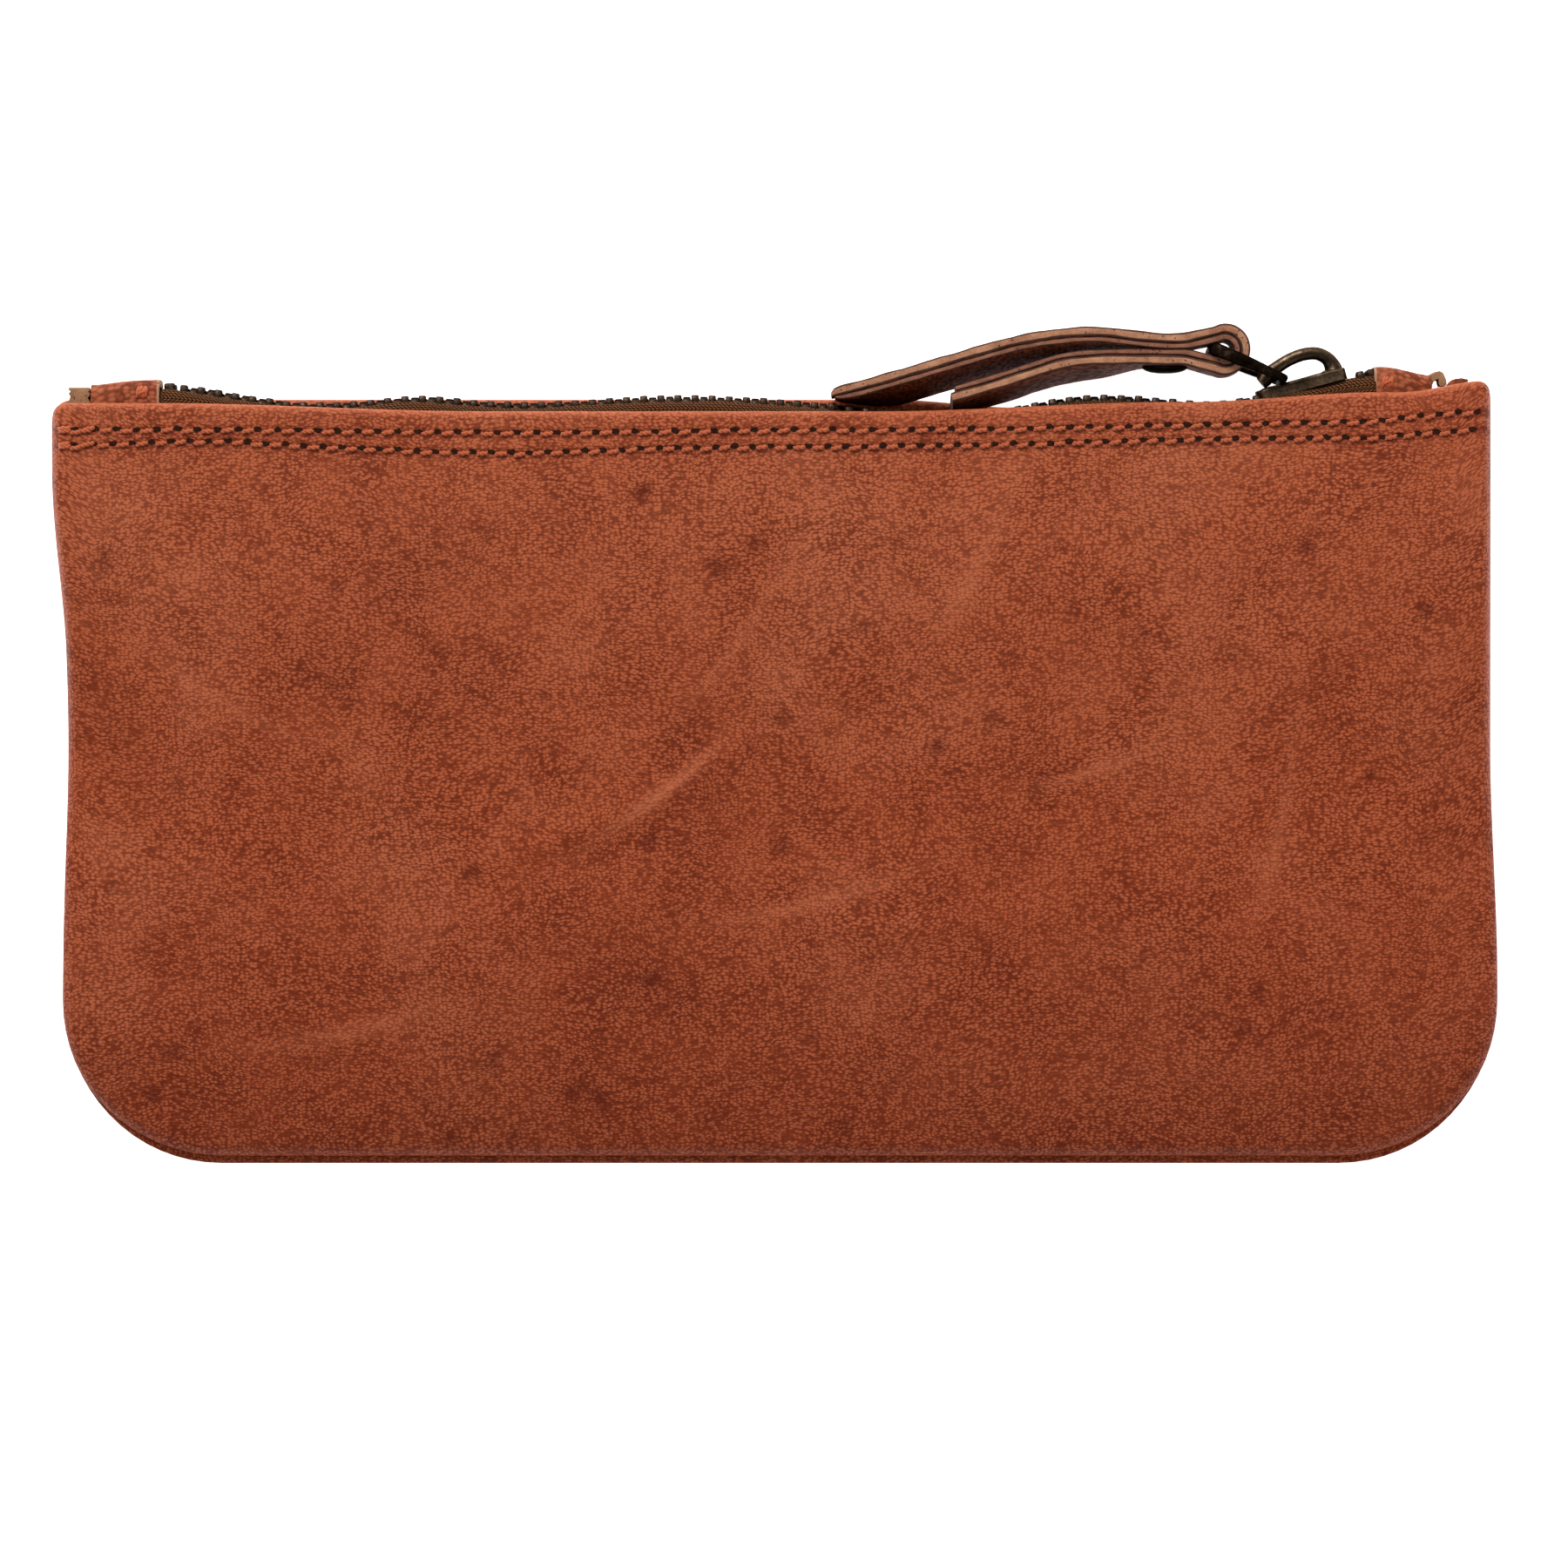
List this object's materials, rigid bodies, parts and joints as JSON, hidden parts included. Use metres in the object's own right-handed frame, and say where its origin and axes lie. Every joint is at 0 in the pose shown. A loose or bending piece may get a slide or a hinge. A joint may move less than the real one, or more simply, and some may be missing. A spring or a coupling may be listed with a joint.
{
  "type": "zippered pouch",
  "caption": "Flat leather pouch with a metal zip along its top edge and a leather strap pull on an open-hook slider.",
  "frame": {"origin": "middle of the flat back face, which lies on the ground", "axes": "+X along the zip towards its closed end, +Y from the bottom seam towards the zip, +Z out of the front wall"},
  "size_m": [0.22, 0.1282, 0.014],
  "materials": {
    "wall_leather": "pebbled cognac leather, waxed",
    "lining_cloth": "plain woven cotton",
    "thread": "waxed twisted thread",
    "zip_tape": "herringbone woven tape",
    "zip_metal": "antique brass",
    "slider_metal": "antique brass, worn on its edges",
    "rivet_metal": "dark antique brass",
    "tab_leather": "smooth leather with raw cut edges",
    "strap_leather": "two plies with raw cut edges"
  },
  "bodies": {
    "back_wall": {"back_panel": "wall_leather", "back_lining": "lining_cloth", "back_upper_stitching": "thread", "back_lower_stitching": "thread", "seam_stitching": "thread", "back_tape": "zip_tape", "back_teeth": "zip_metal", "back_top_stop": "zip_metal", "bottom_stop": "zip_metal", "left_end_tab": "tab_leather", "right_end_tab": "tab_leather", "left_tab_tack": "thread", "right_tab_tack": "thread"},
    "front_wall": {"front_panel": "wall_leather", "front_lining": "lining_cloth", "front_upper_stitching": "thread", "front_lower_stitching": "thread", "front_tape": "zip_tape", "front_teeth": "zip_metal", "front_top_stop": "zip_metal"},
    "slider": {"slider_body": "slider_metal", "slider_bridge": "slider_metal"},
    "link": {"pull_link": "slider_metal"},
    "pull_strap": {"strap_outer": "strap_leather", "strap_lining": "strap_leather", "rivet_post": "rivet_metal", "rivet_cap": "rivet_metal"}
  },
  "joints": [
    {"name": "slider_slide", "type": "slide", "parent": "back_wall", "child": "slider", "axis": [-1, 0, 0], "range_m": [0, 0.16], "deforming": ["back_tape", "back_teeth", "strap_outer", "strap_lining"]},
    {"name": "mouth_open", "type": "hinge", "parent": "back_wall", "child": "front_wall", "pos_m": [0, -0.0575, 0.0045], "axis": [1, 0, 0], "range_deg": [0, 12], "deforming": ["front_tape", "front_teeth"]},
    {"name": "link_swing", "type": "hinge", "parent": "slider", "child": "link", "pos_m": [0.0766, 0.0618, 0.007], "axis": [0, 0, 1], "range_deg": [-88, 0]},
    {"name": "strap_swing", "type": "hinge", "parent": "link", "child": "pull_strap", "pos_m": [0.06626, 0.06623, 0.007], "axis": [0, 0, 1], "range_deg": [-60, 0]}
  ],
  "couplings": [
    {"joint": "mouth_open", "follows": "slider_slide", "rad_per_m": 1.3}
  ]
}
